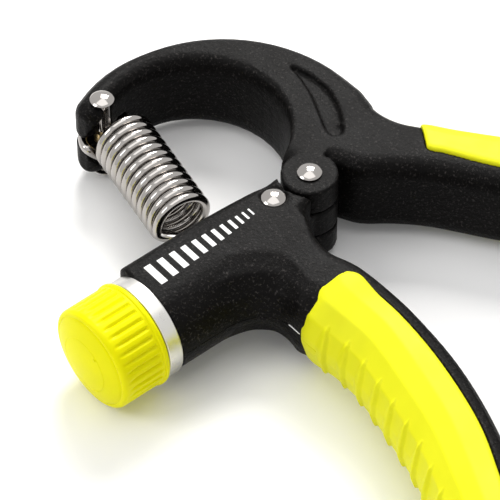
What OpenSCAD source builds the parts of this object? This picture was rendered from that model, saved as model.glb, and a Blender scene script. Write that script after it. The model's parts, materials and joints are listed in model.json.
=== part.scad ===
// Hand grip strengthener with an adjustable tension spring, in millimetres.
// Origin: under the middle of the part's box. +X runs along the adjuster tube away from the knob,
// +Y points to the arch and +Z is along the pivot rivet. The pieces are drawn round the pivot at
// mid thickness, and placed() moves them.

/* [Body] */
// Half of the body's thickness
half_t = 12; // [11:0.5:14]
// Radius of the rounded body edges
edge_r = 4.2; // [3:0.1:5]
// Radius of the knuckle round the pivot
knuckle_r = 7.3; // [6.5:0.1:8.5]
// Gap between the knuckle and the arm that turns round it
knuckle_gap = 0.8; // [0.5:0.1:1.5]
// Half of the tongue's thickness in the fork
tongue_half_t = 4; // [3:0.25:5]
// Gap between the tongue and each fork cheek
cheek_gap = 0.6; // [0.4:0.05:1]

/* [Arch] */
// Radius of the arch's outer wall
arch_out_r = 41.6; // [38:0.2:45]
// Radius of the arch's inner wall
arch_in_r = 24; // [21:0.2:26]
// Distance of the spring pin from the arch's outer wall
pin_wall = 6.45; // [6:0.05:7.5]
// Half thickness of the spring slot in the arch tip
tip_slot_half = 1.7; // [1.4:0.1:3]
// Depth of the crescent recess in the arch's face
crescent_depth = 1.4; // [0.5:0.1:3]

/* [Handles] */
// Reach of the handles past the last drawn rib, which rounds their ends
handle_end_r = 6; // [4:0.5:7]
// How far the grips stand proud of the body's faces
grip_proud = 0.8; // [0.4:0.1:1.6]
// Radius of the lower grip's outer side, which fills the palm
grip_palm_r = 11; // [8:0.2:11.4]
// Radius of the grips' edges beside the bare strip of the body
grip_strip_r = 1.2; // [0.8:0.1:2]
// Half thickness of the handle core inside a grip
core_half_t = 8; // [6:0.5:9.5]

/* [Tube] */
// Distance from the pivot to the tube's mouth
tube_mouth = 55.9; // [50:0.1:62]
// Offset of the tube's axis from the pivot
tube_off = 5; // [4:0.1:6]
// Distance from the tube's axis to its flat spring-side wall
tube_wall_y = 11.5; // [10.5:0.1:13]
// Radius of the tube's bore
bore_r = 8.6; // [7.5:0.1:9.2]
// Distance from the pivot to the bore's blind end
bore_end = 17; // [15:0.5:20]
// Half width of the hook slot in the tube
slot_half = 1.9; // [1.6:0.1:2.6]

/* [Collar and knob] */
// Outer radius of the collar ring
collar_r = 13.5; // [12.5:0.1:15]
// Length of the collar ring
collar_len = 4.2; // [3:0.1:6]
// Radius of the knob's ribbed body
knob_r = 13.7; // [12.5:0.1:15]
// Radius of the knob's rear lip
knob_lip_r = 14.1; // [13:0.1:15.4]
// Length of the knob's rear lip
knob_lip_len = 1.6; // [1:0.1:3]
// Length of the knob from its rear face to its front rim
knob_len = 13.9; // [11:0.1:18]
// Height of the knob's crowned face
knob_crown = 2.7; // [1.5:0.1:4]
// Number of grooves round the knob
knob_grooves = 34; // [20:1:44]
// Radius of one knob groove
groove_r = 0.8; // [0.4:0.05:1]
// Radius of the cap in the knob's face
cap_r = 7.5; // [6:0.1:9]

/* [Adjusting screw] */
// Radius of the adjusting screw
screw_r = 2.5; // [2:0.1:3]
// Travel of the slider for one turn of the knob
screw_lead = 3; // [1:0.5:4]
// Number of turns that the knob makes from end to end
knob_turns = 4; // [2:1:5]
// Length of the slider
slider_len = 9; // [7:0.5:11]
// Radius of the slider's cross pin
slider_pin_r = 1.1; // [0.9:0.05:1.2]

/* [Spring] */
// Radius of the spring's wire
wire_r = 1.2; // [0.9:0.05:1.35]
// Mean radius of the coil
coil_r = 7.3; // [6:0.1:7.6]
// Number of turns in the coil
coil_turns = 11.875; // [8.875:1:11.875]
// Length of the coil between the centres of its end turns
coil_len = 33.6; // [30:0.2:36]

/* [Rivets] */
// Radius of a rivet's shank
rivet_r = 2; // [1.6:0.1:2.4]
// Radius of a rivet's domed head
head_r = 3.15; // [2.8:0.05:3.6]
// Height of a rivet's domed head
head_h = 1.3; // [0.8:0.1:1.8]
// Radius of the recess round the anchor rivet's head
recess_r = 3.6; // [3.6:0.05:3.75]
// Depth of the recess round the anchor rivet's head
recess_depth = 0.8; // [0.4:0.1:1.2]
// Radius of the pivot bush
bush_r = 3.2; // [2.8:0.1:3.8]

/* [Hidden] */

// Place of the pivot at mid thickness, from an origin under the middle of the part's box
pivot_at = [-5.5, 29.6, knob_lip_r];

// Clearances: running fits, faces that slide on each other, and pieces that are only near
run_fit = 0.05;
face_gap = 0.1;
free_gap = 0.3;
far = 200;
round_fn = 64;

// Rivet places in plan
anchor_at = [-12.1, -0.3];
slider_at = [-30.6, 1.8];

// Circle centres of the arch's walls
arch_out_at = [-11.2, 20.6];
arch_in_at = [-11.9, 30.6];

// The spring pin lies inside the arch's outer wall, near its tip
pin_angle = 111.5;
spring_pin_at = arch_out_at + (arch_out_r - pin_wall) * [cos(pin_angle), sin(pin_angle)];

// Spring: top and direction of the coil's axis, in plan
coil_top = spring_pin_at + [2.5, -4.2];
coil_dir = [-0.193, -0.981];
coil_side = [-coil_dir.y, coil_dir.x];
hook_gap = 0.2;
roller_r = 2.6;
wire_sides = 6;
rings_per_turn = 8;

slider_travel = screw_lead * knob_turns;
knob_back = -tube_mouth - collar_len - free_gap;
knob_rim = knob_back - knob_len;
clear_r = knuckle_r + knuckle_gap;
slot_half_t = tongue_half_t + cheek_gap;

// ---- helpers ----

// Point between b and c on a Catmull-Rom curve through a, b, c, d; works on lists of any depth
function curve(a, b, c, d, t) = 0.5 * (2 * b + (c - a) * t + (2 * a - 5 * b + 4 * c - d) * t * t
    + (3 * b - a - 3 * c + d) * t * t * t);
function at(list, i) = list[max(0, min(len(list) - 1, i))];
function smooth(ribs, steps) = concat([for (i = [0 : len(ribs) - 2], k = [0 : steps - 1])
    curve(at(ribs, i - 1), ribs[i], ribs[i + 1], at(ribs, i + 2), k / steps)], [ribs[len(ribs) - 1]]);

// Share of a section's half width or half thickness that its edge radius may take; beside a small
// radius the other edge may take the width that is left
edge_most = 0.96;
// One section of a loft: a rounded rectangle between two points in plan, 2 * t thick, with an edge
// radius at its first point and one at its second
function section(rib) =
    let (p = rib[0], q = rib[1], t = rib[2][0], w = norm(q - p) / 2, most = w * edge_most,
        u = (q - p) / (2 * w), m = (p + q) / 2)
    [for (k = [0 : 3], j = [0 : 3])
        let (sx = (k == 0 || k == 3) ? 1 : -1, sz = k < 2 ? 1 : -1, f = k * 90 + j * 30,
            other_r = rib[2][sx > 0 ? 1 : 2],
            r = min(rib[2][sx > 0 ? 2 : 1], t * edge_most, max(most, 2 * most - other_r)),
            x = sx * (w - r) + r * cos(f), z = sz * (t - r) + r * sin(f))
        [m.x + u.x * x, m.y + u.y * x, z]];

// Closed skin through rings of points, wound so that its faces look outward
module skin(rings) {
    n = len(rings[0]);
    last = len(rings) - 1;
    polyhedron(
        points = [for (ring = rings, p = ring) p],
        faces = concat(
            [for (i = [0 : last - 1], j = [0 : n - 1]) [i * n + j, (i + 1) * n + j, i * n + (j + 1) % n]],
            [for (i = [0 : last - 1], j = [0 : n - 1])
                [(i + 1) * n + j, (i + 1) * n + (j + 1) % n, i * n + (j + 1) % n]],
            [for (j = [1 : n - 2]) [0, j, j + 1]],
            [for (j = [1 : n - 2]) [last * n, last * n + j + 1, last * n + j]]));
}
function unit(v) = v / norm(v);
function middle(rib) = (rib[0] + rib[1]) / 2;
// Ahead of a rib, square to it, seen from the rib before it
function ahead_of(before, rib) = let (u = (rib[1] - rib[0]) / norm(rib[1] - rib[0]), n = [u.y, -u.x])
    n * (middle(rib) - middle(before)) > 0 ? n : -n;
// Solid through a chain of ribs, whichever side each rib starts on
module loft(ribs) {
    u = ribs[0][1] - ribs[0][0];
    toward = middle(ribs[1]) - middle(ribs[0]);
    skin([for (b = ribs)
        section([u.y, -u.x] * toward > 0 ? b : [b[1], b[0], [b[2][0], b[2][2], b[2][1]]])]);
}

// Rib with the body's thickness and edge radius, or with radii of its own at its first and second edge
function rib(p, q, t = half_t, r = edge_r, second_r = undef) =
    [p, q, [t, r, is_undef(second_r) ? r : second_r]];

// Ribs that round off the end of a loft past its last rib, by a plan radius, which may take a share
// of the last rib, and an edge radius, of which the end keeps a share
end_most = 0.6;
end_keep = 0.35;
function end_ribs(before, last, plan_r, soft_r) =
    let (p = last[0], q = last[1], u = (q - p) / norm(q - p), ahead = ahead_of(before, last),
        round_r = min(plan_r, norm(q - p) * end_most))
    [for (f = [18 : 18 : 72])
        let (s = round_r * sin(f), c = round_r * (1 - cos(f)), k = end_keep + (1 - end_keep) * cos(f))
        [p + ahead * s + u * c, q + ahead * s - u * c,
            [last[2][0] - soft_r * (1 - cos(f)), last[2][1] * k, last[2][2] * k]]];
function reversed(list) = [for (i = [len(list) - 1 : -1 : 0]) list[i]];

// Keeps a union of skins together as one mesh, so that exact holes can be cut in it
module one_mesh() { resize([0, 0, 0]) union() children(); }

// Cylinder along the tube's axis between two places on X
module rod(x0, x1, r) {
    translate([x0, -tube_off, 0]) rotate([0, 90, 0]) cylinder(h = x1 - x0, r = r, $fn = round_fn);
}
module post(p, r, h) { translate([p.x, p.y, -h / 2]) cylinder(h = h, r = r, $fn = round_fn); }

// ---- arch arm ----

// Angles of the arch's ribs on its outer and inner circles, from the tip to the root
tip_out = 113;
root_out = 2;
tip_in = 124;
root_in = -66;
arch_steps = 22;
arch_ribs = [for (i = [0 : arch_steps]) let (s = i / arch_steps, fo = tip_out + (root_out - tip_out) * s,
        fi = tip_in + (root_in - tip_in) * s)
    rib(arch_in_at + arch_in_r * [cos(fi), sin(fi)], arch_out_at + arch_out_r * [cos(fo), sin(fo)])];
tip_plan_r = 4.4;
tip_soft_r = 3;
tip_ribs = end_ribs(arch_ribs[1], arch_ribs[0], tip_plan_r, tip_soft_r);

// The arch runs on into the handle's root and the knuckle
root_ribs = [rib([0, 5.5], [30.6, 15]), rib([1.5, 1], [29.4, 9])];

// Ribs of the arch arm's handle: outer edge, inner edge
upper_ribs = [
    rib([29.4, 14], [4, 7]), rib([28.9, 6.5], [8.5, -1.6]), rib([30.5, 0.4], [11.4, -6.5]),
    rib([33.8, -4.6], [17.4, -11.6]), rib([39.1, -11.8], [24.4, -19]),
    rib([47.3, -22.8], [33.2, -31.7]), rib([58.2, -36.8], [44, -46.2]),
    rib([69.5, -51.4], [55, -60.6]), rib([80.6, -65.5], [65.4, -74.3]),
    rib([87.4, -74.2], [71.6, -82.6])];
// The grip starts at this rib of the handle; its strip leaves this much of the body bare
upper_grip_ribs = [
    rib([34, -3.5], [28.2, -12.7]), rib([35.9, -5.3], [29, -14.2]), rib([40.2, -11.4], [31.1, -17.2]),
    rib([48.4, -21.9], [37.5, -28.2]), rib([59.3, -36], [48.4, -42.9]), rib([70.6, -50.6], [59.2, -57.6]),
    rib([84.4, -69.6], [72.4, -76.2])];
// The lower handle starts inside the tube, whose round outer edge fades into the handle's own,
// which stays a little inside its grip
palm_r = grip_palm_r - grip_proud;
lower_ribs = [
    rib([-45, -17.9], [-43, 6.3], half_t, 11.5, 3), rib([-41, -18.3], [-35, 6.3], half_t, 11.5, 3),
    rib([-37.6, -19], [-26, 6.2], half_t, 11.5, 3), rib([-35, -20], [-18, 5.6], half_t, 11.5, 3),
    rib([-32.9, -21.5], [-11.5, 3.6], half_t, 11.3, 2.5), rib([-31.3, -23.2], [-9, -3], half_t, 11, 2.5),
    rib([-30.3, -25.2], [-9, -9], half_t, 10, 3), rib([-29.8, -27.6], [-11.6, -15.5], half_t, 8.6, 3.5),
    rib([-29.7, -30.2], [-12, -22.2], half_t, 7, 4),
    rib([-29.2, -34.5], [-9.4, -30.6], half_t, 8.5, edge_r),
    rib([-28.4, -46.5], [-8.9, -45], half_t, palm_r, edge_r),
    rib([-30, -58.5], [-9.9, -57], half_t, palm_r, edge_r),
    rib([-32, -69.5], [-11.5, -67.5], half_t, palm_r, edge_r),
    rib([-35.2, -80.5], [-14.3, -78.5], half_t, palm_r, edge_r),
    rib([-39.6, -92], [-18.1, -89.5], half_t, palm_r, edge_r),
    rib([-45.4, -105.5], [-23.4, -102], half_t, palm_r, edge_r),
    rib([-51, -116.5], [-28.8, -112.5], half_t, palm_r, edge_r)];
lower_grip_ribs = [
    rib([-28, -30.9], [-15, -32]), rib([-29.4, -33], [-13.6, -34]), rib([-29.7, -37], [-13.5, -38]),
    rib([-29.5, -50], [-13.7, -50]), rib([-32.4, -65], [-15.6, -64]), rib([-36.4, -80.5], [-19.1, -78.5]),
    rib([-41, -92], [-23, -89.8]), rib([-46.5, -104.5], [-28.8, -101.5]),
    rib([-50.2, -112.2], [-32.6, -109])];

// Sets the half thickness of every rib and the edge radii of its first and second edge
function thick(ribs, t, r, second_r) = [for (b = ribs) rib(b[0], b[1], t, r, second_r)];
// Moves the ribs' first and second edges inward by a and b
function inset(ribs, a, b) = [for (k = ribs) let (u = (k[1] - k[0]) / norm(k[1] - k[0]))
    [k[0] + u * a, k[1] - u * b, k[2]]];

// Moves the first and last rib a little way out, so that a core runs on past its grip's ends
function run_on(ribs, d) = let (n = len(ribs), a = ribs[0], b = ribs[n - 1],
        back = unit(middle(ribs[1]) - middle(a)), on = unit(middle(b) - middle(ribs[n - 2])))
    concat([[a[0] - back * d, a[1] - back * d, a[2]]], [for (i = [1 : n - 2]) ribs[i]],
        [[b[0] + on * d, b[1] + on * d, b[2]]]);

grip_t = half_t + grip_proud;
grip_edge_r = edge_r + grip_proud;
core_in = 3.6;
core_reach = 1.6;
core_run = 5;
core_edge_r = edge_r * 0.8;
loft_steps = 4;

module handle(ribs) {
    curved = smooth(ribs, loft_steps);
    last = len(curved) - 1;
    loft(concat(curved, end_ribs(curved[last - 1], curved[last], handle_end_r, handle_end_r)));
}
module grip_body(ribs, outer_r = grip_edge_r) {
    loft(smooth(thick(ribs, grip_t, outer_r, grip_strip_r), loft_steps));
}
module grip_core(ribs) {
    cored = thick(inset(run_on(ribs, core_run), core_in, -core_reach), core_half_t, core_edge_r,
        core_edge_r);
    loft(smooth(cored, loft_steps));
}

// Crescent recess: it narrows from a round end to a point, along a curve beside the arch's outer wall
crescent_tip = [21, 32.6];
crescent_end = [15, 7.7];
crescent_end_r = 2.4;
crescent_turn = 28;
crescent_lean = [1, -0.3];
module crescent() {
    path = smooth([[crescent_end, crescent_end_r], [[18, 13.4], 2.7], [[20.6, 20], 2.4], [[21.4, 27], 1.4],
        [crescent_tip, 0.25]], 4);
    translate([0, 0, half_t - crescent_depth]) linear_extrude(height = far)
        polygon(concat(
            [for (f = [180 : 30 : 360])
                crescent_end + crescent_end_r * [cos(f + crescent_turn), sin(f + crescent_turn)]],
            [for (i = [1 : len(path) - 1]) path[i][0] + path[i][1] * crescent_lean],
            [for (i = [len(path) - 1 : -1 : 1]) path[i][0] - path[i][1] * crescent_lean]));
}

module arch_blank() {
    one_mesh() difference() {
        union() {
            loft(concat(reversed(tip_ribs), arch_ribs, root_ribs));
            post([0, 0], knuckle_r, 2 * half_t);
            difference() {
                handle(upper_ribs);
                grip_body(upper_grip_ribs);
            }
            grip_core(upper_grip_ribs);
        }
        post([0, 0], clear_r, 2 * slot_half_t);
        coil_room();
        hook_slot();
        crescent();
    }
}

// Puts X along the coil's axis and Y to its side
module in_coil_frame() {
    translate([coil_top.x, coil_top.y, 0]) rotate([0, 0, atan2(coil_dir.y, coil_dir.x)]) children();
}
// Room for the coil in the arch tip, wide enough for the coil's swing
coil_clear = 1.2;
module coil_room() {
    room_r = coil_r + wire_r + coil_clear;
    room_top = wire_r + coil_clear;
    in_coil_frame() rotate([0, 90, 0]) translate([0, 0, -room_top])
        cylinder(h = coil_len, r = room_r, $fn = round_fn);
}
// Slot for the spring's hook, as wide as the loop and open at the arch's end
module hook_slot() {
    reach = loop_r + wire_r + free_gap;
    in_coil_frame() translate([loop_along - reach, pin_side - reach, -tip_slot_half])
        cube([reach - loop_along, 2 * reach, 2 * tip_slot_half]);
}
module arch_arm() {
    color("#252423") difference() {
        arch_blank();
        post([0, 0], rivet_r, far);
        post(spring_pin_at, rivet_r, far);
    }
}
module arch_grip() {
    color("#d6df21") one_mesh() difference() {
        grip_body(upper_grip_ribs);
        grip_core(upper_grip_ribs);
    }
}

// ---- adjuster arm ----

tube_end = -36;
tube_flat_end = -6.3;
tube_corner_r = 3;
tube_wall = tube_wall_y - tube_off;
module tube_shape(x0, x1) {
    len_x = x1 - x0;
    flat_y = tube_wall - tube_corner_r;
    translate([x0, tube_flat_end, 0]) rotate([0, 90, 0]) cylinder(h = len_x, r = half_t, $fn = round_fn);
    translate([x0, tube_flat_end, -half_t]) cube([len_x, flat_y - tube_flat_end, 2 * half_t]);
    translate([x0, 0, -half_t + tube_corner_r]) cube([len_x, tube_wall, 2 * (half_t - tube_corner_r)]);
    for (s = [-1, 1]) translate([x0, flat_y, s * (half_t - tube_corner_r)])
        rotate([0, 90, 0]) cylinder(h = len_x, r = tube_corner_r, $fn = 32);
}
// The shoulder leads from the tube to the tongue: spring-side edge, far edge
shoulder_ribs = [
    rib([-40, tube_wall], [-40, -5], half_t, tube_corner_r),
    rib([-30, tube_wall], [-30, -6], half_t, tube_corner_r),
    rib([-16, 5.7], [-16, -9], half_t, tube_corner_r),
    rib([-10.5, 4.9], [-10.5, -9.2], half_t, tube_corner_r),
    rib([-6, 4.9], [-5.5, -6.7], half_t, 2), rib([0, 5.4], [0, -6], half_t, 2)];

module adjuster_blank() {
    one_mesh() {
        tube_shape(-tube_mouth, tube_end);
        loft(smooth(shoulder_ribs, loft_steps));
        post([0, 0], knuckle_r, 2 * tongue_half_t);
        difference() {
            handle(lower_ribs);
            grip_body(lower_grip_ribs, grip_palm_r);
        }
        grip_core(lower_grip_ribs);
    }
}
tang_half_t = 3;
tang_top = 3.2;
tang_bottom = -4;
tang_end = -9.4;
module tang(gap) {
    translate([-bore_end - 1, tang_bottom - gap, -tang_half_t - gap])
        cube([bore_end + 1 + tang_end + gap, tang_top - tang_bottom + 2 * gap, 2 * (tang_half_t + gap)]);
}
// Slot for the spring's lower hook: both ends leave room for the hook's swing
slot_before = 3;
slot_after = 7;
slot_x0 = slider_at.x - slider_travel - slot_before;
slot_x1 = slider_at.x + slot_after;
module adjuster_arm() {
    color("#252423") difference() {
        adjuster_blank();
        for (s = [-1, 1]) translate([0, 0, s * (tongue_half_t + far / 2)]) post([0, 0], clear_r, far);
        post([0, 0], bush_r, far);
        post(anchor_at, rivet_r, far);
        for (s = [-1, 1]) translate([0, 0, s * (half_t - recess_depth + far / 2)])
            post(anchor_at, recess_r, far);
        rod(-tube_mouth - 1, -bore_end, bore_r);
        tang(face_gap);
        translate([slot_x0, 0, -slot_half]) cube([slot_x1 - slot_x0, far, 2 * slot_half]);
    }
}
module adjuster_grip() {
    color("#d6df21") one_mesh() difference() {
        grip_body(lower_grip_ribs, grip_palm_r);
        grip_core(lower_grip_ribs);
    }
}

// ---- rivets and pivot ----

module dome(r, h) {
    ball = (r * r + h * h) / (2 * h);
    intersection() {
        translate([0, 0, h - ball]) sphere(r = ball, $fn = round_fn);
        cylinder(h = h, r = r, $fn = round_fn);
    }
}
module rivet(p, seat = half_t) {
    color("#dcdcdc") {
        post(p, rivet_r, 2 * seat);
        for (s = [0, 1]) mirror([0, 0, s]) translate([p.x, p.y, seat]) dome(head_r, head_h);
    }
}
module pivot_rivet() { rivet([0, 0]); }
module anchor_rivet() { rivet(anchor_at, half_t - recess_depth); }
module spring_pin() { rivet(spring_pin_at); }
module pivot_bush() {
    color("#b08d57") difference() {
        post([0, 0], bush_r, 2 * tongue_half_t);
        post([0, 0], rivet_r + run_fit, far);
    }
}
washer_inset = 1;
module pivot_washers() {
    color("#e8e8e0") for (s = [-1, 1])
        translate([0, 0, s * (tongue_half_t + cheek_gap / 2)]) difference() {
            post([0, 0], knuckle_r - washer_inset, cheek_gap - 2 * run_fit);
            post([0, 0], rivet_r + face_gap, far);
        }
}

// ---- spring ----

// Tube of wire along a path of points; each ring turns with the path
function flow(path, i) = unit(at(path, i + 1) - at(path, i - 1));
function turned(a, t) = unit(a - (a * t) * t);
function sides(path, i, a) = i == len(path) ? []
    : let (t = flow(path, i), b = turned(a, t)) concat([b], sides(path, i + 1, b));
function wire_rings(path) = let (first = sides(path, 0, [0.3, 0.2, 1]))
    [for (i = [0 : len(path) - 1])
        let (t = flow(path, i), a = first[i], b = cross(t, a))
        [for (k = [0 : wire_sides - 1])
            let (f = k * 360 / wire_sides) path[i] + wire_r * (cos(f) * a + sin(f) * b)]];

// From the coil's own frame (side, along, Z) to the part's frame
function from_coil(s, w, z) =
    [coil_top.x + coil_side.x * s + coil_dir.x * w, coil_top.y + coil_side.y * s + coil_dir.y * w, z];
// The coil starts at coil_start, in degrees round its axis from its side direction towards +Z
coil_start = 225;
coil_steps = round(coil_turns * rings_per_turn);
function coil_point(i) = let (f = coil_start + 360 * i / rings_per_turn)
    from_coil(coil_r * cos(f), coil_len * i / coil_steps, coil_r * sin(f));
coil_path = [for (i = [0 : coil_steps]) coil_point(i)];

function bezier(a, b, c, d, t) =
    pow(1 - t, 3) * a + 3 * t * pow(1 - t, 2) * b + 3 * t * t * (1 - t) * c + pow(t, 3) * d;

// The upper hook is a loop in the part's mid plane. Its far side bears on the roller round the pin.
pin_side = (spring_pin_at - coil_top) * coil_side;
pin_along = (spring_pin_at - coil_top) * coil_dir;
loop_r = 6.4;
loop_along = pin_along - roller_r - hook_gap - wire_r + loop_r;
loop_step = 20;
loop_arc = [for (f = [10 : -loop_step : -170])
    from_coil(pin_side + loop_r * cos(f), loop_along + loop_r * sin(f), 0)];
loop_end = from_coil(pin_side - loop_r, loop_along, 0);
bend = 3;
coil_in = unit(coil_point(1) - coil_point(0));
along = [coil_dir.x, coil_dir.y, 0];
upper_bend = [for (t = [0 : 0.2 : 0.8]) bezier(loop_end, loop_end + along * bend * 0.5,
    coil_point(0) - coil_in * bend, coil_point(0), t)];
spring_path = concat(loop_arc, upper_bend, coil_path);

// The lower hook runs from the coil's last turn through the tube's slot and round the slider's pin
hook_r = slider_pin_r + hook_gap + wire_r;
slider_side = (slider_at - coil_top) * coil_side;
slider_along = (slider_at - coil_top) * coil_dir;
coil_out = unit(coil_point(coil_steps) - coil_point(coil_steps - 1));
coil_end = coil_point(coil_steps) + coil_out * free_gap;
leg_drop = 6;
leg_top = from_coil(slider_side - hook_r, coil_len + leg_drop, 0);
lower_path = concat(
    [for (t = [0 : 0.125 : 0.9])
        bezier(coil_end, coil_end + coil_out * bend, leg_top - along * bend, leg_top, t)],
    [leg_top],
    [for (f = [180 : -30 : -90])
        from_coil(slider_side + hook_r * cos(f), slider_along + hook_r * sin(f), 0)]);

// Least gap of the wire to itself, past its own neighbours on the path
skip = 6;
function least(path) = min([for (i = [0 : len(path) - 1 - skip], j = [i + skip : len(path) - 1])
    norm(path[i] - path[j])]) - 2 * wire_r;
echo(spring_least_gap = least(spring_path), lower_hook_least_gap = least(lower_path));

module wire(path) { skin(wire_rings(path)); }
module tension_spring() { color("#e4e4e6") wire(spring_path); }
module spring_lower_hook() { color("#e4e4e6") wire(lower_path); }
module spring_roller() {
    color("#b08d57") difference() {
        post(spring_pin_at, roller_r, 2 * (tip_slot_half - face_gap));
        post(spring_pin_at, rivet_r + run_fit, far);
    }
}

// ---- slider and screw ----

slider_x0 = slider_at.x - slider_len / 2;
slider_slot_y = slider_at.y - hook_r - wire_r - hook_gap;
slider_slot_gap = 0.25;
slider_slot_half = wire_r + slider_slot_gap;
// The pin is as long as the slider is wide at the pin's top
slider_pin_top = slider_at.y + tube_off + slider_pin_r;
slider_pin_half = sqrt(pow(bore_r - run_fit, 2) - pow(slider_pin_top, 2)) - face_gap;
module slider_nut() {
    color("#e8e8e0") difference() {
        rod(slider_x0, slider_x0 + slider_len, bore_r - run_fit);
        rod(-far, far, screw_r + run_fit);
        translate([-far, slider_slot_y, -slider_slot_half]) cube([2 * far, far, 2 * slider_slot_half]);
        post(slider_at, slider_pin_r, 2 * slider_pin_half);
    }
}
module slider_pin() { color("#b8b8ba") post(slider_at, slider_pin_r, 2 * slider_pin_half); }

bush_len = 5.4;
clip_len = 1;
clip_wall = 2;
washer_len = 1;
insert_r = 5;
collar_bore = insert_r + free_gap;
bush_x1 = -tube_mouth + bush_len;
washer_x0 = -tube_mouth - face_gap - washer_len;
insert_x1 = washer_x0 - face_gap;
insert_depth = 4;
insert_x0 = knob_rim + insert_depth;
head_len = 2;
head_inset = 0.8;
knob_screw_r = 1.2;
knob_screw_len = 6;
screw_setback = 0.2;
screw_x0 = insert_x0 + screw_setback;
block_len = 6;
block_floor = 1.2;
block_x0 = -bore_end - block_len;
screw_x1 = -bore_end - block_floor;

module adjusting_screw() {
    color("#b8b8ba") difference() {
        rod(screw_x0, screw_x1, screw_r);
        rod(screw_x0 - 1, screw_x0 + knob_screw_len, knob_screw_r);
    }
}
module screw_end_block() {
    color("#e8e8e0") difference() {
        union() {
            rod(block_x0, -bore_end, bore_r);
            tang(0);
        }
        rod(block_x0 - 1, screw_x1 + free_gap, screw_r + run_fit);
        post(anchor_at, rivet_r, far);
    }
}
module screw_clip() {
    color("#b8b8ba") difference() {
        rod(bush_x1 + face_gap, bush_x1 + face_gap + clip_len, screw_r + clip_wall);
        rod(-far, far, screw_r);
    }
}
module tube_end_bush() {
    color("#e8e8e0") difference() {
        rod(-tube_mouth, bush_x1, bore_r);
        rod(-far, far, screw_r + run_fit);
    }
}
module thrust_washer() {
    color("#b08d57") difference() {
        rod(washer_x0, washer_x0 + washer_len, insert_r);
        rod(-far, far, screw_r + run_fit);
    }
}
module collar_ring() {
    color("#c9c9c6") difference() {
        rod(-tube_mouth - collar_len, -tube_mouth, collar_r);
        rod(-far, far, collar_bore);
    }
}

// ---- knob ----

lip_soft = 0.6;
rim_soft = 1.4;
// Outline of the knob in the half plane (radius, height), from its rear face to its crown
crown_ball = (pow(knob_r - rim_soft, 2) + knob_crown * knob_crown) / (2 * knob_crown);
knob_profile = concat(
    [[0, 0], [knob_lip_r - lip_soft, 0]],
    [for (f = [-60 : 30 : 90]) [knob_lip_r - lip_soft + lip_soft * cos(f), lip_soft + lip_soft * sin(f)]],
    [[knob_r, knob_lip_len], [knob_r, knob_len - rim_soft]],
    [for (f = [20 : 20 : 60])
        [knob_r - rim_soft + rim_soft * cos(f), knob_len - rim_soft + rim_soft * sin(f)]],
    [for (s = [1 : -0.125 : 0]) let (x = (knob_r - rim_soft) * s)
        [x, knob_len + knob_crown - crown_ball + sqrt(crown_ball * crown_ball - x * x)]]);
module knob_blank() {
    translate([knob_back, -tube_off, 0]) rotate([0, -90, 0])
        rotate_extrude($fn = 96) polygon(knob_profile);
}
cap_depth = 0.9;
cap_seat = knob_rim + cap_depth;
// How far the grooves' axes lie outside the knob, as a share of their radius, and short of its lip
groove_lift = 0.35;
groove_stop = 1;
module knob() {
    color("#e9e414") difference() {
        knob_blank();
        rod(-far, far, insert_r);
        rod(-far, cap_seat, cap_r);
        for (i = [0 : knob_grooves - 1])
            translate([0, -tube_off, 0]) rotate([i * 360 / knob_grooves, 0, 0])
                translate([knob_rim - knob_crown, 0, knob_r + groove_r * groove_lift]) rotate([0, 90, 0])
                    cylinder(h = knob_len + knob_crown - knob_lip_len - groove_stop, r = groove_r, $fn = 24);
    }
}
module knob_insert() {
    color("#b08d57") difference() {
        rod(insert_x0, insert_x1, insert_r);
        rod(-far, far, screw_r);
    }
}
module knob_screw() {
    color("#b8b8ba") {
        rod(insert_x0 - head_len, insert_x0, insert_r - head_inset);
        rod(insert_x0, screw_x0 + knob_screw_len - screw_setback, knob_screw_r);
    }
}
module knob_cap() {
    color("#e9e414") intersection() {
        knob_blank();
        rod(-far, cap_seat, cap_r);
    }
}

module placed() { translate(pivot_at) children(); }

placed() arch_arm();
placed() arch_grip();
placed() adjuster_arm();
placed() adjuster_grip();
placed() pivot_rivet();
placed() pivot_bush();
placed() pivot_washers();
placed() anchor_rivet();
placed() screw_end_block();
placed() spring_pin();
placed() spring_roller();
placed() tension_spring();
placed() spring_lower_hook();
placed() slider_nut();
placed() slider_pin();
placed() adjusting_screw();
placed() screw_clip();
placed() tube_end_bush();
placed() thrust_washer();
placed() collar_ring();
placed() knob();
placed() knob_insert();
placed() knob_screw();
placed() knob_cap();
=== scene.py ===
"""Hand grip strengthener: the looks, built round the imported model.

Sizes and places are in millimetres, measured from the pivot at mid thickness, and MM turns them into metres.
Only the floor, the lights, the camera's clip and the sizes in the materials are in metres from the start.
"""

import json
import math

import bmesh
import bpy
import numpy as np
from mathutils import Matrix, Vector
from mathutils.bvhtree import BVHTree

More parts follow.
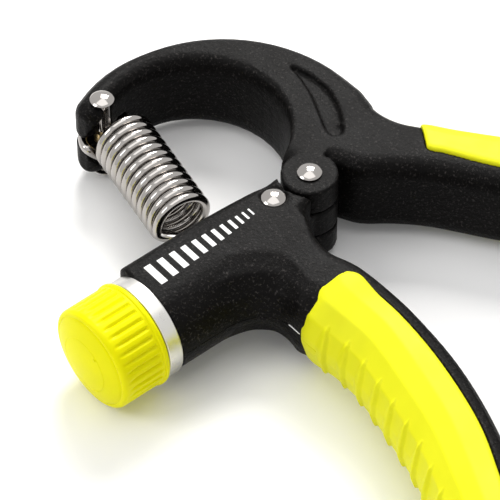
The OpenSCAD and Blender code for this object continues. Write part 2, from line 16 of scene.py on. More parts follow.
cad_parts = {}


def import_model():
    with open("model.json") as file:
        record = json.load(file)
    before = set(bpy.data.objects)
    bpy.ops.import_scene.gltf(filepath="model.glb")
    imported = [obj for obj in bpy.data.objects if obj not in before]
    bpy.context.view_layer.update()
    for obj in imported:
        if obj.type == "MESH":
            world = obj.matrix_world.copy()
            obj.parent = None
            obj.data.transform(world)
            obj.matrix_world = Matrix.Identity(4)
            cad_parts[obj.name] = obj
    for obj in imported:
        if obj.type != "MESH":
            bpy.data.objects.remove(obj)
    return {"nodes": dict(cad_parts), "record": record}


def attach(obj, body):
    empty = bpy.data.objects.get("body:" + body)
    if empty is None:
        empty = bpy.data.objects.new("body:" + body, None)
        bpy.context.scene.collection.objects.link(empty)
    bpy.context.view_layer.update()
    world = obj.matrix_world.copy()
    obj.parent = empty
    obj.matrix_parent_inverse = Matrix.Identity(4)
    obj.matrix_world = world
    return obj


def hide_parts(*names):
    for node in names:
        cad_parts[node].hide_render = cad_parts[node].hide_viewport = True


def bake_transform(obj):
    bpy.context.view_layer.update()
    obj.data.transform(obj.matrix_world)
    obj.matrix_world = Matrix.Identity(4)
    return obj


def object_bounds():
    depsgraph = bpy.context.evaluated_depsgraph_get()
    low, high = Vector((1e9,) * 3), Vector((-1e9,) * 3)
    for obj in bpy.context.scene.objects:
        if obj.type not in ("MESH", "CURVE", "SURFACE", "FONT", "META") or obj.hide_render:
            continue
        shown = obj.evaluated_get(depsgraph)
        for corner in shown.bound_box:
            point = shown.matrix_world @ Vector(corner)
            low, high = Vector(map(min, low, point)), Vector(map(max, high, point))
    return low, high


MM = 0.001
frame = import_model()
cad_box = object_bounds()
nodes = frame["nodes"]
behaviour = frame["record"]["behaviour"]
body_of_node = {n: body for body, names in behaviour["bodies"].items() for n in names}
joint_mm = {row["name"]: np.array(row["pos_m"]) / MM for row in behaviour["joints"] if "pos_m" in row}
# The pivot's own place in the frame
PIVOT_MM = joint_mm["squeeze"]
slot_of_node = {row["node"]: row["material_slot"] for row in frame["record"]["subparts"]}


# ---------------------------------------------------------------- mesh helpers

# Taubin smoothing goes a step in and a slightly longer step out
SMOOTH_STEPS = (0.55, -0.56)
# Edges that bend more than this stay sharp on turned bodies and tubes
SHARP_DEG = 42
# A radius this small is a point on the axis
ON_AXIS = 1e-6
# A direction that no tube starts along
OFF_PATH = (0.3, 0.2, 1.0)
# Height of a tube's domed ends, as a share of its radius
TUBE_DOME = 0.45
# Surface lines: distance of their points, sides of their tube, and how often they are evened out
LINE_STEP, LINE_SIDES, LINE_ROUNDS = 0.4, 8, 3


def new_object(name, data):
    obj = bpy.data.objects.new(name, data)
    bpy.context.scene.collection.objects.link(obj)
    return obj


def mesh_from(name, verts, faces, smooth=True):
    mesh = bpy.data.meshes.new(name)
    mesh.from_pydata([tuple(v) for v in verts], [], [tuple(f) for f in faces])
    mesh.validate()
    mesh.update()
    if smooth:
        mesh.shade_smooth()
    return mesh


def placed(x, y, z):
    """A point measured from the pivot in mm, as a place in the frame in metres."""
    return tuple((np.array((x, y, z)) + PIVOT_MM) * MM)


def points_of(mesh):
    co = np.empty(len(mesh.vertices) * 3)
    mesh.vertices.foreach_get("co", co)
    return co.reshape(-1, 3)


def set_points(mesh, co):
    mesh.vertices.foreach_set("co", np.asarray(co, np.float32).ravel())
    mesh.update()


def normals_of(mesh):
    no = np.empty(len(mesh.vertices) * 3)
    mesh.vertex_normals.foreach_get("vector", no)
    return no.reshape(-1, 3)


def eased(t):
    """Rises from 0 to 1 with a soft start and end, while t goes from 0 to 1."""
    t = np.clip(t, 0, 1)
    return t * t * (3 - 2 * t)


def apply_modifiers(obj):
    graph = bpy.context.evaluated_depsgraph_get()
    mesh = bpy.data.meshes.new_from_object(obj.evaluated_get(graph))
    old = obj.data
    obj.modifiers.clear()
    obj.data = mesh
    bpy.data.meshes.remove(old)
    mesh.shade_smooth()


def soften(mesh, rounds):
    """Taubin smoothing: it takes out steps and facets without shrinking the form."""
    co = points_of(mesh)
    edges = np.empty(len(mesh.edges) * 2, np.int64)
    mesh.edges.foreach_get("vertices", edges)
    a, b = edges.reshape(-1, 2).T
    count = np.bincount(np.concatenate([a, b]), minlength=len(co)).astype(float)[:, None]
    for _ in range(rounds):
        for factor in SMOOTH_STEPS:
            total = np.zeros_like(co)
            for k in range(3):
                total[:, k] = np.bincount(a, co[b, k], len(co)) + np.bincount(b, co[a, k], len(co))
            co = co + factor * (total / np.maximum(count, 1) - co)
    set_points(mesh, co)


def moulded_copy(node, name, voxel, rounds):
    """A finely meshed, softened copy of a CAD node, with its edges rounded as a mould rounds them."""
    obj = new_object(name, nodes[node].data.copy())
    obj.data.materials.clear()
    remesh = obj.modifiers.new("voxels", "REMESH")
    remesh.mode = "VOXEL"
    remesh.voxel_size = voxel * MM
    remesh.use_smooth_shade = True
    apply_modifiers(obj)
    soften(obj.data, rounds)
    return obj


def turn_outward(mesh):
    """Faces look outward, and are shaded smooth but for the sharp edges."""
    bm = bmesh.new()
    bm.from_mesh(mesh)
    bmesh.ops.recalc_face_normals(bm, faces=bm.faces)
    bm.to_mesh(mesh)
    bm.free()
    mesh.shade_smooth()
    mesh.set_sharp_from_angle(angle=math.radians(SHARP_DEG))


def lathe(name, profile, segments, place, axis="X", radius_at=None, closed=False):
    """A body turned round X or Z. profile is a list of (distance along the axis, radius), and place is the
    axis's two other coordinates. radius_at(along, r, angle) may reshape the radius."""
    angles = np.linspace(0, 2 * math.pi, segments, endpoint=False)
    verts, faces, rings = [], [], []

    def put(along, r, angle):
        one = place[0] + r * math.cos(angle)
        two = place[1] + r * math.sin(angle)
        verts.append(placed(along, one, two) if axis == "X" else placed(one, two, along))
        return len(verts) - 1

    for along, r in profile:
        if r < ON_AXIS:
            rings.append([put(along, 0, 0)])
        elif radius_at:
            rings.append([put(along, radius_at(along, r, angle), angle) for angle in angles])
        else:
            rings.append([put(along, r, angle) for angle in angles])
    pairs = list(zip(rings, rings[1:]))
    if closed:
        pairs.append((rings[-1], rings[0]))
    for lower, upper in pairs:
        if len(lower) == 1 and len(upper) == 1:
            continue
        for j in range(segments):
            k = (j + 1) % segments
            corners = ((lower, j), (lower, k), (upper, k), (upper, j))
            quad = [ring[i % len(ring)] for ring, i in corners]
            faces.append(list(dict.fromkeys(quad)))
    obj = new_object(name, mesh_from(name, verts, faces))
    turn_outward(obj.data)
    return obj


def arc(cx, cy, r, from_deg, to_deg, steps):
    angles = [math.radians(from_deg + (to_deg - from_deg) * i / steps) for i in range(steps + 1)]
    return [(cx + r * math.cos(angle), cy + r * math.sin(angle)) for angle in angles]


def tube(name, path, radius, sides):
    """A round tube along a path of points in metres, with domed ends."""
    path = np.asarray(path)
    ahead = np.gradient(path, axis=0)
    ahead /= np.linalg.norm(ahead, axis=1)[:, None]
    side = np.cross(ahead[0], OFF_PATH)
    side /= np.linalg.norm(side)
    verts, faces = [], []
    angles = np.linspace(0, 2 * math.pi, sides, endpoint=False)
    for p, way in zip(path, ahead):
        side = side - way * np.dot(side, way)
        side /= np.linalg.norm(side)
        other = np.cross(way, side)
        verts += [p + radius * (math.cos(angle) * side + math.sin(angle) * other) for angle in angles]
    n = len(path)
    for i in range(n - 1):
        for j in range(sides):
            k = (j + 1) % sides
            faces.append((i * sides + j, i * sides + k, (i + 1) * sides + k, (i + 1) * sides + j))
    for end, sign in ((0, -1), (n - 1, 1)):
        verts.append(path[end] + sign * ahead[end] * radius * TUBE_DOME)
        tip = len(verts) - 1
        for j in range(sides):
            faces.append((end * sides + j, end * sides + (j + 1) % sides, tip))
    obj = new_object(name, mesh_from(name, verts, faces))
    turn_outward(obj.data)
    return obj


def curve(a, b, c, d, shares):
    """Points of a Bezier curve from a to d, with b and c as its handles."""
    points = []
    for t in shares:
        points.append((1 - t) ** 3 * a + 3 * t * (1 - t) ** 2 * b + 3 * t * t * (1 - t) * c + t ** 3 * d)
    return points


def surface_line(name, carrier, points, radius):
    """A thin raised line on another piece's surface, which follows points near it."""
    mesh = carrier.data
    tree = BVHTree.FromPolygons([v.co for v in mesh.vertices], [p.vertices for p in mesh.polygons])
    path = []
    for a, b in zip(points, points[1:]):
        start = np.array(placed(*a))
        way = np.array(placed(*b)) - start
        steps = max(1, int(np.linalg.norm(way) / (LINE_STEP * MM)))
        path += [start + way * i / steps for i in range(steps)]
    path.append(np.array(placed(*points[-1])))
    snapped = np.array([tree.find_nearest(Vector(p))[0] for p in path])
    for _ in range(LINE_ROUNDS):
        snapped[1:-1] = (snapped[:-2] + 2 * snapped[1:-1] + snapped[2:]) / 4
    return tube(name, snapped, radius * MM, LINE_SIDES)


# ---------------------------------------------------------------- materials

# Colour sockets of a Mix node
MIX_A, MIX_B, MIX_RESULT = 6, 7, 2
BLACK_DEEP = (0.0018, 0.0016, 0.0015)
BLACK_PALE = (0.0036, 0.0032, 0.003)
BLACK_SPECK = (0.04, 0.036, 0.034)
# How much darker the shaded grain of the plain plastics is
PLAIN_SHADE = 0.94


def material(name):
    mat = bpy.data.materials.new(name)
    mat.use_nodes = True
    tree = mat.node_tree
    return mat, tree, tree.nodes["Principled BSDF"]


def noise(tree, where, scale, detail, roughness=0.5):
    node = tree.nodes.new("ShaderNodeTexNoise")
    node.inputs["Scale"].default_value = scale
    node.inputs["Detail"].default_value = detail
    node.inputs["Roughness"].default_value = roughness
    tree.links.new(where.outputs["Object"], node.inputs["Vector"])
    return node.outputs["Fac"]


def bump(tree, height, strength, distance, under=None):
    """Relief from a height. under is the relief that it lies on."""
    node = tree.nodes.new("ShaderNodeBump")
    node.inputs["Strength"].default_value = strength
    node.inputs["Distance"].default_value = distance
    tree.links.new(height, node.inputs["Height"])
    if under is not None:
        tree.links.new(under, node.inputs["Normal"])
    return node.outputs["Normal"]


def ramp(tree, source, *stops):
    """Colours between two stops. Each stop is a place from 0 to 1, with a colour or a grey value."""
    node = tree.nodes.new("ShaderNodeValToRGB")
    tree.links.new(source, node.inputs["Fac"])
    for element, (place, colour) in zip(node.color_ramp.elements, stops):
        element.position = place
        element.color = (*colour, 1) if isinstance(colour, tuple) else (colour, colour, colour, 1)
    return node.outputs["Color"]


def black_plastic():
    """Moulded charcoal plastic: sand texture, paler specks, and patches that are a little glossier."""
    mat, tree, shader = material("black_plastic")
    where = tree.nodes.new("ShaderNodeTexCoord")
    grain = noise(tree, where, scale=1500, detail=4, roughness=0.65)
    pits = noise(tree, where, scale=620, detail=3, roughness=0.6)
    patch = noise(tree, where, scale=110, detail=4, roughness=0.6)
    mix = tree.nodes.new("ShaderNodeMix")
    mix.data_type = "RGBA"
    tree.links.new(ramp(tree, grain, (0.56, 0.0), (0.7, 1.0)), mix.inputs["Factor"])
    tree.links.new(ramp(tree, patch, (0.3, BLACK_DEEP), (0.7, BLACK_PALE)), mix.inputs[MIX_A])
    mix.inputs[MIX_B].default_value = (*BLACK_SPECK, 1)
    tree.links.new(mix.outputs[MIX_RESULT], shader.inputs["Base Color"])
    tree.links.new(ramp(tree, patch, (0.3, 0.36), (0.7, 0.46)), shader.inputs["Roughness"])
    coarse = bump(tree, pits, strength=0.75, distance=0.00028)
    fine = bump(tree, grain, strength=0.9, distance=0.00014, under=coarse)
    tree.links.new(fine, shader.inputs["Normal"])
    shader.inputs["Specular IOR Level"].default_value = 0.06
    return mat


def yellow(name, light, dark, rough, specular, grain_strength):
    """Yellow-green rubber or plastic, which lets a little light in. rough is its least and most roughness."""
    mat, tree, shader = material(name)
    where = tree.nodes.new("ShaderNodeTexCoord")
    grain = noise(tree, where, scale=1500, detail=3, roughness=0.55)
    patch = noise(tree, where, scale=90, detail=3, roughness=0.6)
    tree.links.new(ramp(tree, patch, (0.3, dark), (0.7, light)), shader.inputs["Base Color"])
    tree.links.new(ramp(tree, patch, (0.25, rough[0]), (0.75, rough[1])), shader.inputs["Roughness"])
    soft = bump(tree, patch, strength=0.12, distance=0.0003)
    fine = bump(tree, grain, strength=grain_strength, distance=0.00004, under=soft)
    tree.links.new(fine, shader.inputs["Normal"])
    shader.inputs["Subsurface Weight"].default_value = 0.12
    shader.inputs["Subsurface Radius"].default_value = (0.004, 0.003, 0.0006)
    shader.inputs["Subsurface Scale"].default_value = 0.6
    shader.inputs["Specular IOR Level"].default_value = specular
    return mat


def metal(name, colour, rough, marks_scale, marks_strength=0.08):
    """Bare metal with fine marks. rough is its least and most roughness."""
    mat, tree, shader = material(name)
    where = tree.nodes.new("ShaderNodeTexCoord")
    marks = noise(tree, where, scale=marks_scale, detail=4)
    tree.links.new(ramp(tree, marks, (0.3, rough[0]), (0.7, rough[1])), shader.inputs["Roughness"])
    tree.links.new(bump(tree, marks, marks_strength, distance=0.00003), shader.inputs["Normal"])
    shader.inputs["Base Color"].default_value = (*colour, 1)
    shader.inputs["Metallic"].default_value = 1
    return mat


def plain_plastic(name, colour, rough):
    mat, tree, shader = material(name)
    where = tree.nodes.new("ShaderNodeTexCoord")
    grain = noise(tree, where, scale=700, detail=3)
    shade = tuple(c * PLAIN_SHADE for c in colour)
    tree.links.new(ramp(tree, grain, (0.3, shade), (0.7, colour)), shader.inputs["Base Color"])
    tree.links.new(bump(tree, grain, strength=0.15, distance=0.00003), shader.inputs["Normal"])
    shader.inputs["Roughness"].default_value = rough
    return mat


MATS = {
    "black_plastic": black_plastic(),
    "grip_rubber": yellow("grip_rubber", light=(0.84, 0.83, 0.012), dark=(0.79, 0.785, 0.008),
                          rough=(0.42, 0.55), specular=0.16, grain_strength=0.3),
    "knob_plastic": yellow("knob_plastic", light=(0.9, 0.86, 0.0015), dark=(0.86, 0.82, 0.001),
                           rough=(0.34, 0.44), specular=0.08, grain_strength=0.1),
    "bright_steel": metal("bright_steel", (0.38, 0.36, 0.342), rough=(0.06, 0.12), marks_scale=900),
    "ring_aluminium": metal("ring_aluminium", (0.62, 0.61, 0.58), rough=(0.26, 0.38), marks_scale=500,
                            marks_strength=0.15),
    "plain_steel": metal("plain_steel", (0.56, 0.56, 0.57), rough=(0.25, 0.4), marks_scale=600),
    "brass": metal("brass", (0.72, 0.55, 0.28), rough=(0.22, 0.36), marks_scale=600),
    "white_plastic": plain_plastic("white_plastic", (0.82, 0.82, 0.79), rough=0.45),
    "scale_ink": plain_plastic("scale_ink", (0.88, 0.88, 0.87), rough=0.5),
}


def finish_piece(obj, mat, body=None, replaced=()):
    """Gives a piece its material and the body that it rides on, and hides the CAD nodes that it stands for.
    """
    obj.data.materials.clear()
    obj.data.materials.append(MATS[mat])
    if body:
        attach(obj, body)
    if replaced:
        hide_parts(*replaced)
    return obj


# ---------------------------------------------------------------- arms and grips

ARM_VOXEL = 0.54
ARM_ROUNDS = 6
UPPER_GRIP_VOXEL = 0.45
LOWER_GRIP_VOXEL = 0.38
GRIP_ROUNDS = 5

RIDGES = 10
RIDGE_FIRST_Y = -39.3
RIDGE_PITCH = 6.84
RIDGE_REACH_Z = 8.6
RIDGE_BOW = 1.65
RIDGE_HEIGHT = 1.0
# How blunt a ridge's two ends are: 1 is a parabola, and less is fuller
RIDGE_BLUNT = 0.7
# The shares of a ridge's width in which it rises at its upper edge and drops at its lower edge
RIDGE_RISE, RIDGE_DROP = 0.78, 0.16
# The ridges start where the surface faces the outer side by this much, and are full this much further on
RIDGE_FACING, RIDGE_FACING_FADE = 0.05, 0.45
# Keeps the width of a ridge over 0 beyond its ends
LEAST_WIDTH = 1e-6

END_PROUD = 0.8
END_FADE_FROM_Y = -43
END_FADE = 9


def finger_ridges(obj):
    """Leaf-shaped ridges across the outer side of the lower grip. Each rises slowly from its upper edge and
    drops at a crease."""
    mesh = obj.data
    co = points_of(mesh)
    out = normals_of(mesh)
    _, y, z = (co / MM - PIVOT_MM).T
    facing = np.clip((-out[:, 0] - RIDGE_FACING) / RIDGE_FACING_FADE, 0, 1)
    leaf = np.clip(1 - (z / RIDGE_REACH_Z) ** 2, 0, 1) ** RIDGE_BLUNT
    width = 2 * RIDGE_BOW * leaf + LEAST_WIDTH
    lift = np.zeros(len(co))
    for i in range(RIDGES):
        upper = RIDGE_FIRST_Y - RIDGE_PITCH * i + RIDGE_BOW * leaf
        t = (upper - y) / width
        rise = np.sin(np.clip(t / RIDGE_RISE, 0, 1) * math.pi / 2)
        drop = eased((1 - t) / RIDGE_DROP)
        lift += np.where((t > 0) & (t < 1), rise * drop, 0) * np.sqrt(leaf)
    set_points(mesh, co + out * (lift * facing * RIDGE_HEIGHT * MM)[:, None])


def stand_proud(obj):
    """The lower grip's top end swells a little, so that its edge stands clear of the arm's shoulder."""
    mesh = obj.data
    co = points_of(mesh)
    y = (co / MM - PIVOT_MM)[:, 1]
    swell = eased((y - END_FADE_FROM_Y) / END_FADE) * END_PROUD
    set_points(mesh, co + normals_of(mesh) * (swell * MM)[:, None])


def moulded_piece(node, mat, voxel, rounds):
    """The softened copy of a node, in the node's place."""
    obj = moulded_copy(node, node + "_moulded", voxel, rounds)
    return finish_piece(obj, mat, body_of_node[node], (node,))


moulded_piece("arch_arm", "black_plastic", ARM_VOXEL, ARM_ROUNDS)
adjuster = moulded_piece("adjuster_arm", "black_plastic", ARM_VOXEL, ARM_ROUNDS)
moulded_piece("arch_grip", "grip_rubber", UPPER_GRIP_VOXEL, GRIP_ROUNDS)
lower_grip = moulded_piece("adjuster_grip", "grip_rubber", LOWER_GRIP_VOXEL, GRIP_ROUNDS)
stand_proud(lower_grip)
finger_ridges(lower_grip)

# Parting lines of the moulds, at mid thickness, and the flash that the grip's mould left
PARTING = [(-54.6, -18.3, 0), (-45, -18.3, 0), (-40.7, -18.3, 0), (-37.3, -18.9, 0), (-34.8, -20, 0),
           (-32.7, -21.5, 0), (-31, -23.4, 0), (-30.2, -25.6, 0), (-29.8, -28.1, 0)]
GRIP_PARTING = [(-28.6, -31.4, 0), (-29.4, -34, 0), (-29.6, -40.5, 0)]
FLASH = [(-30.2, -27.4, 0.3), (-29.8, -29.4, 0.2), (-29, -31, 0)]
# Name, the piece that it lies on, points, radius and material
LINES = (("adjuster_parting", adjuster, PARTING, 0.13, "black_plastic"),
         ("grip_parting", lower_grip, GRIP_PARTING, 0.1, "grip_rubber"),
         ("grip_flash", adjuster, FLASH, 0.17, "scale_ink"))

for line_name, carrier, points, radius, mat in LINES:
    finish_piece(surface_line(line_name, carrier, points, radius), mat, "adjuster_body")

# ---------------------------------------------------------------- knob and ring

TUBE_Y = (joint_mm["knob_spin"] - PIVOT_MM)[1]
KNOB_BACK = -60.4
KNOB_R = 13.7
BORE_R = 5.02
BORE_END = -73.4

# The lip at the knob's back: its radius, its flat back's radius, its length and its two rounded edges
LIP_R = 14.1
LIP_FLAT_R = 13.3
LIP_LEN = 1.0
LIP_ROUND = 0.6
LIP_FOOT = 0.33
LIP_FOOT_X = KNOB_BACK - 1.05

# Rings of points along the knob's side: close together where the flutes begin, then evenly spaced
FLUTE_END_RINGS = [-61.9, -62.2, -62.45, -62.55, -62.65, -62.75, -62.9, -63.1, -63.4]
SIDE_RINGS = [-64 - 0.6 * i for i in range(15)]

FLUTES = 34
FLUTE_DEPTH = 0.62
FLUTE_SEGMENTS = 14
# Half of a flute's width, as a share of the pitch
FLUTE_HALF = 0.31
# Each flute has a round end at its back and fades out towards its front
FLUTE_BACK, FLUTE_ROUND = -63.3, 0.8
FLUTE_FRONT, FLUTE_FADE = -73.4, 3.6
FLUTED_FROM_R = KNOB_R - 0.6

# The rounded edge round the crown, the crease inside it, and the crown's shallow dome
EDGE_X = -72.9
EDGE_ROUND = 1.4
CREASE = [(-74.24, 12.26), (-74.18, 12.18), (-74.24, 12.1)]
CROWN_R = 12.0
CROWN_TOP = -77.0
CROWN_BALL = 29.37

# The cap in the crown, the groove round it (distance from the cap's edge, depth) and the mark of its mould
CAP_R = 7.5
CAP_SUNK = 0.04
# Radii of the rings of points on the crown and on the cap
CROWN_RINGS = np.linspace(CROWN_R - 0.6, CAP_R + 0.5, 6)
CAP_RINGS = np.linspace(CAP_R - 1.3, 0.5, 9)
CAP_GROOVE = ((0.14, 0), (0.05, 0.12), (-0.05, 0.12), (-0.14, 0.02), (-0.6, CAP_SUNK))
GATE_MARK = [(-76.1, 0), (-76.1, 0.4), (-76.3, 0.38), (-76.36, 0.25), (-76.38, 0)]
GATE_SEGMENTS = 16
GATE_PLACE = (-9.21, 5.27)


def crown(r):
    return CROWN_TOP + CROWN_BALL - math.sqrt(CROWN_BALL ** 2 - r * r)


def fluted(x, r, angle):
    """The radius of the knob's side, less the flutes."""
    if not FLUTE_FRONT < x < FLUTE_BACK + FLUTE_ROUND or r < FLUTED_FROM_R:
        return r
    pitch = 2 * math.pi / FLUTES
    off = abs((angle + pitch / 2) % pitch - pitch / 2) / (pitch * FLUTE_HALF)
    if off >= 1:
        return r
    back = math.sqrt(max(0.0, 1 - max(0.0, (x - FLUTE_BACK) / FLUTE_ROUND) ** 2))
    front = eased((x - FLUTE_FRONT) / FLUTE_FADE)
    return r - FLUTE_DEPTH * back * front * math.cos(off * math.pi / 2) ** 2


def knob_piece():
    """The ribbed knob and the cap in its face, turned as one body with the bore left open."""
    profile = [(KNOB_BACK, BORE_R), (KNOB_BACK, LIP_FLAT_R)]
    profile += arc(KNOB_BACK - LIP_ROUND, LIP_R - LIP_ROUND, LIP_ROUND, 0, 90, 6)
    profile.append((KNOB_BACK - LIP_LEN, LIP_R))
    profile += arc(LIP_FOOT_X, LIP_R - LIP_FOOT, LIP_FOOT, 90, 170, 5)
    profile += [(x, KNOB_R) for x in FLUTE_END_RINGS + SIDE_RINGS]
    profile += arc(EDGE_X, KNOB_R - EDGE_ROUND, EDGE_ROUND, 90, 172, 12)
    profile += CREASE + [(crown(CROWN_R), CROWN_R)]
    profile += [(crown(r), r) for r in CROWN_RINGS]
    profile += [(crown(CAP_R + off) + depth, CAP_R + off) for off, depth in CAP_GROOVE]
    profile += [(crown(r) + CAP_SUNK, r) for r in CAP_RINGS]
    profile += [(CROWN_TOP + CAP_SUNK, 0), (BORE_END, 0), (BORE_END, BORE_R)]
    obj = lathe("knob_ribbed", profile, FLUTES * FLUTE_SEGMENTS, (TUBE_Y, 0), radius_at=fluted, closed=True)
    finish_piece(obj, "knob_plastic", body_of_node["knob"], ("knob", "knob_cap"))
    gate = lathe("knob_gate_mark", GATE_MARK, GATE_SEGMENTS, GATE_PLACE)
    finish_piece(gate, "knob_plastic", body_of_node["knob"])


RING_FRONT = -60.1
RING_BACK = -55.92
RING_R = 13.5
RING_BORE_R = 5.32
RING_ROUND = 0.35
# A short flat beside each rounded edge, on the ring's faces and on its side, keeps the shading clean
FACE_FLAT = 0.1
SIDE_FLAT = 0.15
RING_SEGMENTS = 240


def ring_piece():
    """The metal ring at the tube's mouth."""
    front, back, rim = RING_FRONT + RING_ROUND, RING_BACK - RING_ROUND, RING_R - RING_ROUND
    profile = [(RING_BACK, RING_BORE_R), (RING_BACK, rim - FACE_FLAT)]
    profile += arc(back, rim, RING_ROUND, 0, 90, 6)
    profile += [(back - SIDE_FLAT, RING_R), (front + SIDE_FLAT, RING_R)]
    profile += arc(front, rim, RING_ROUND, 90, 180, 6)
    profile += [(RING_FRONT, rim - FACE_FLAT), (RING_FRONT, RING_BORE_R)]
    obj = lathe("collar_turned", profile, RING_SEGMENTS, (TUBE_Y, 0), closed=True)
    finish_piece(obj, slot_of_node["collar_ring"], body_of_node["collar_ring"], ("collar_ring",))


knob_piece()
ring_piece()

# ---------------------------------------------------------------- rivets

HEAD_R = 3.15
SHANK_R = 2.0
RIVET_SEGMENTS = 96
# Heights over the seat: the hollow under the head from its shank to its rim, the middle of the rim's rounded
# edge, the rim's top, and the dome over that
HOLLOW_FROM = 0.1
HOLLOW_TO, HOLLOW_R = 0.26, 2.75
RIM_MID, RIM_ROUND = 0.45, 0.2
RIM_TOP, RIM_TOP_R = 0.62, HEAD_R - 0.1
DOME_H = 0.9
SPRING_PIN = np.array((-24.0825, 53.3043))
# Node, place along x and y, and distance of the seats from mid thickness
RIVETS = (("pivot_rivet", (0, 0), 12), ("anchor_rivet", (-12.1, -0.3), 11.2), ("spring_pin", SPRING_PIN, 12))


def rivet_half(seat):
    """A domed head whose rim stands clear of the surface, from its shank to its top."""
    ball = (RIM_TOP_R ** 2 + DOME_H ** 2) / (2 * DOME_H)
    top = seat + RIM_TOP + DOME_H
    half = [(seat, SHANK_R), (seat + HOLLOW_FROM, SHANK_R), (seat + HOLLOW_TO, HOLLOW_R)]
    half += arc(seat + RIM_MID, HEAD_R - RIM_ROUND, RIM_ROUND, 215, 90, 5)[1:]
    half += [(top - ball + math.sqrt(ball ** 2 - r * r), r) for r in np.linspace(RIM_TOP_R, 0, 15)[1:-1]]
    return half + [(top, 0)]


def rivet_piece(node, place, seat):
    half = rivet_half(seat)
    profile = [(-z, r) for z, r in reversed(half)] + half
    obj = lathe(node + "_domed", profile, RIVET_SEGMENTS, place, "Z")
    finish_piece(obj, slot_of_node[node], body_of_node[node], (node,))


for rivet in RIVETS:
    rivet_piece(*rivet)

# ---------------------------------------------------------------- spring

COIL_TOP = SPRING_PIN + (2.5, -4.2)
COIL_DIR = np.array((-0.193, -0.981))
COIL_SIDE = np.array((0.981, -0.193))
COIL_R = 7.3
COIL_LEN = 33.6
COIL_TURNS = 11.875
COIL_START_DEG = 225
COIL_STEPS = 48
WIRE_R = 1.2
WIRE_SIDES = 18
SLIDER = np.array((-30.6, 1.8))
LOOP_R = 6.4
ROLLER_R = 2.6
HOOK_GAP = 0.2
HOOK_R = 2.5
BEND = 3.0
# Angles of the points on the hooks' arcs
LOOP_ANGLES = np.radians(np.arange(10, -178, -6))
HOOK_ANGLES = np.radians(np.arange(180, -91, -15))
# The straight leg of the lower hook starts this far beyond the coil
LEG_FROM = 6
# A turn this short gives the wire's direction at the coil's ends
END_TURN = 0.01


def from_coil(side, along, z):
    """A place in the frame, from one beside the coil's axis, along it and above it."""
    x, y = COIL_TOP + COIL_SIDE * side + COIL_DIR * along
    return np.array(placed(x, y, z))


def coil_point(turns):
    angle = math.radians(COIL_START_DEG + 360 * turns)
    return from_coil(COIL_R * math.cos(angle), COIL_LEN * turns / COIL_TURNS, COIL_R * math.sin(angle))


def direction(start, end):
    return (end - start) / np.linalg.norm(end - start)


def spring_piece():
    """One wire: the upper hook's loop, the coil, and the lower hook through the tube's slot."""
    away, bend = np.array((*COIL_DIR, 0)), BEND * MM
    first, last = coil_point(0), coil_point(COIL_TURNS)
    into = direction(first, coil_point(END_TURN))
    out = direction(coil_point(COIL_TURNS - END_TURN), last)

    pin_side = (SPRING_PIN - COIL_TOP) @ COIL_SIDE
    loop_along = (SPRING_PIN - COIL_TOP) @ COIL_DIR - ROLLER_R - HOOK_GAP - WIRE_R + LOOP_R
    path = [from_coil(pin_side + LOOP_R * math.cos(angle), loop_along + LOOP_R * math.sin(angle), 0)
            for angle in LOOP_ANGLES]
    loop_end = from_coil(pin_side - LOOP_R, loop_along, 0)
    leave, arrive = loop_end + away * bend / 2, first - into * bend
    path += curve(loop_end, leave, arrive, first, np.linspace(0, 1, 11)[:-1])

    path += [coil_point(t) for t in np.linspace(0, COIL_TURNS, int(COIL_TURNS * COIL_STEPS))]

    slider_side, slider_along = (SLIDER - COIL_TOP) @ COIL_SIDE, (SLIDER - COIL_TOP) @ COIL_DIR
    leg_top = from_coil(slider_side - HOOK_R, COIL_LEN + LEG_FROM, 0)
    path += curve(last, last + out * bend, leg_top - away * bend, leg_top, np.linspace(0, 1, 16)[1:])
    hook = [from_coil(slider_side + HOOK_R * math.cos(angle), slider_along + HOOK_R * math.sin(angle), 0)
            for angle in HOOK_ANGLES]
    path += [leg_top + (hook[0] - leg_top) * t for t in (0.25, 0.5, 0.75)]
    path += hook
    obj = tube("spring_wire", path, WIRE_R * MM, WIRE_SIDES)
    finish_piece(obj, slot_of_node["tension_spring"], None, ("tension_spring", "spring_lower_hook"))
    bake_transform(obj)


spring_piece()

# ---------------------------------------------------------------- scale

BARS = 12
BAR_Z = (11.9, 12.05)
# Radius of a bar's corners, and the most that it takes of half the bar's width
BAR_ROUND, BAR_ROUND_SHARE = 0.1, 0.4
# The first bar's middle, the step to the next one, and what each step adds to that
BAR_X, BAR_STEP, BAR_STEP_MORE = -19.755, 1.765, 0.09655
BAR_WIDTH, BAR_WIDTH_MORE = 0.47, 0.14
BAR_LOW, BAR_LOW_MORE = -1.95, 0.3
BAR_HIGH, BAR_HIGH_MORE = 0.43, 0.0115


def bar_outline(i):
    """A bar's rounded outline in plan."""
    mid = BAR_X - BAR_STEP * i - BAR_STEP_MORE * i * i
    half = (BAR_WIDTH + BAR_WIDTH_MORE * i) / 2
    soft = min(BAR_ROUND, half * BAR_ROUND_SHARE)
    left, right = mid - half + soft, mid + half - soft
    low = BAR_LOW - BAR_LOW_MORE * i + soft
    high = BAR_HIGH + BAR_HIGH_MORE * i * i - soft
    outline = []
    for cx, cy, from_deg in ((right, high, 0), (left, high, 90), (left, low, 180), (right, low, 270)):
        outline += arc(cx, cy, soft, from_deg, from_deg + 90, 3)
    return outline


def scale_bars():
    """A printed scale of plain bars that grow towards the knob."""
    verts, faces = [], []
    for i in range(BARS):
        outline = bar_outline(i)
        n, start = len(outline), len(verts)
        verts += [placed(x, y, z) for z in BAR_Z for x, y in outline]
        faces.append([start + k for k in reversed(range(n))])
        faces.append([start + n + k for k in range(n)])
        faces += [[start + k, start + (k + 1) % n, start + n + (k + 1) % n, start + n + k] for k in range(n)]
    obj = new_object("scale_bars", mesh_from("scale_bars", verts, faces, smooth=False))
    finish_piece(obj, "scale_ink", "adjuster_body")


scale_bars()

# ---------------------------------------------------------------- every other CAD node keeps its shape

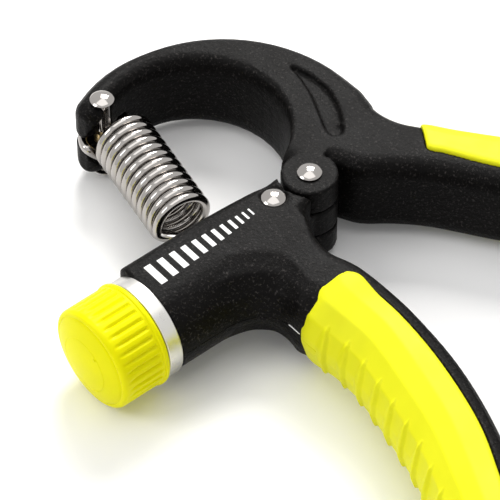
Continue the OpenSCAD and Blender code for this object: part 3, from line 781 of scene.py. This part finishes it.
for node_name, node_obj in nodes.items():
    node_obj.data.materials.clear()
    node_obj.data.materials.append(MATS[slot_of_node[node_name]])

# ---------------------------------------------------------------- floor, light and camera

LENS_MM = 252
SENSOR_MM = 36
CLIP_START = 0.01
CAMERA_FAR_MM = 875
LOOK_AT_MM = np.array((-21.2, -2.1, 0))
# From what the camera looks at to the camera
CAMERA_WAY = Vector((-0.4295, -0.5131, 0.7431))
FLOOR_HALF = 3.0
FLOOR_COLOUR = (0.95, 0.945, 0.94)
FLOOR_ROUGH = 0.6
FLOOR_SPECULAR = 0.2
FLOOR_LIFT = 0.06
WHITE = (1, 1, 1)
WORLD_LIGHT = 0.4
# Name, place, side length, power and colour. They shine at the frame's origin
LIGHTS = (("key", (0.46, 0.48, 0.66), 0.4, 8, (1, 0.985, 0.965)),
          ("fill", (-0.7, 0.35, 0.7), 0.4, 3, WHITE),
          ("top", (0, 0.05, 1.1), 0.9, 3.8, WHITE))


def camera():
    data = bpy.data.cameras.new("camera")
    data.lens = LENS_MM
    data.sensor_width = SENSOR_MM
    data.clip_start = CLIP_START
    obj = new_object("camera", data)
    obj.location = placed(*(LOOK_AT_MM + np.array(CAMERA_WAY) * CAMERA_FAR_MM))
    obj.rotation_euler = (-CAMERA_WAY).to_track_quat("-Z", "Y").to_euler()
    bpy.context.scene.camera = obj


def seen_directly(tree):
    """1 for the rays that show a surface itself: from the camera, in a reflection or through glass."""
    path = tree.nodes.new("ShaderNodeLightPath")
    total = path.outputs["Is Camera Ray"]
    for ray in ("Is Glossy Ray", "Is Transmission Ray"):
        most = tree.nodes.new("ShaderNodeMath")
        most.operation = "MAXIMUM"
        tree.links.new(total, most.inputs[0])
        tree.links.new(path.outputs[ray], most.inputs[1])
        total = most.outputs[0]
    return total


def scaled(tree, value, low, high):
    """Turns 0 to 1 into low to high."""
    node = tree.nodes.new("ShaderNodeMapRange")
    node.inputs["To Min"].default_value = low
    node.inputs["To Max"].default_value = high
    tree.links.new(value, node.inputs["Value"])
    return node.outputs["Result"]


def floor():
    """A pale floor. It shines a little where it is seen, so that it is white round the shadows."""
    z = cad_box[0][2]
    corners = [(-FLOOR_HALF, -FLOOR_HALF, z), (FLOOR_HALF, -FLOOR_HALF, z),
               (FLOOR_HALF, FLOOR_HALF, z), (-FLOOR_HALF, FLOOR_HALF, z)]
    obj = new_object("floor", mesh_from("floor", corners, [(0, 1, 2, 3)], smooth=False))
    mat, tree, shader = material("floor_white")
    shader.inputs["Base Color"].default_value = (*FLOOR_COLOUR, 1)
    shader.inputs["Roughness"].default_value = FLOOR_ROUGH
    shader.inputs["Specular IOR Level"].default_value = FLOOR_SPECULAR
    shader.inputs["Emission Color"].default_value = (*WHITE, 1)
    tree.links.new(scaled(tree, seen_directly(tree), 0, FLOOR_LIFT), shader.inputs["Emission Strength"])
    obj.data.materials.append(mat)


def area_light(name, place, side, power, colour):
    data = bpy.data.lights.new(name, "AREA")
    data.size = side
    data.energy = power
    data.color = colour
    obj = new_object(name, data)
    obj.location = place
    obj.rotation_euler = (-Vector(place)).to_track_quat("-Z", "Y").to_euler()


def world():
    """Even light from all round, which looks white where it is seen."""
    data = bpy.data.worlds.new("studio")
    bpy.context.scene.world = data
    data.use_nodes = True
    tree = data.node_tree
    background = tree.nodes["Background"]
    background.inputs["Color"].default_value = (*WHITE, 1)
    tree.links.new(scaled(tree, seen_directly(tree), WORLD_LIGHT, 1), background.inputs["Strength"])


camera()
floor()
world()
for light in LIGHTS:
    area_light(*light)
bpy.context.scene.view_settings.view_transform = "Standard"
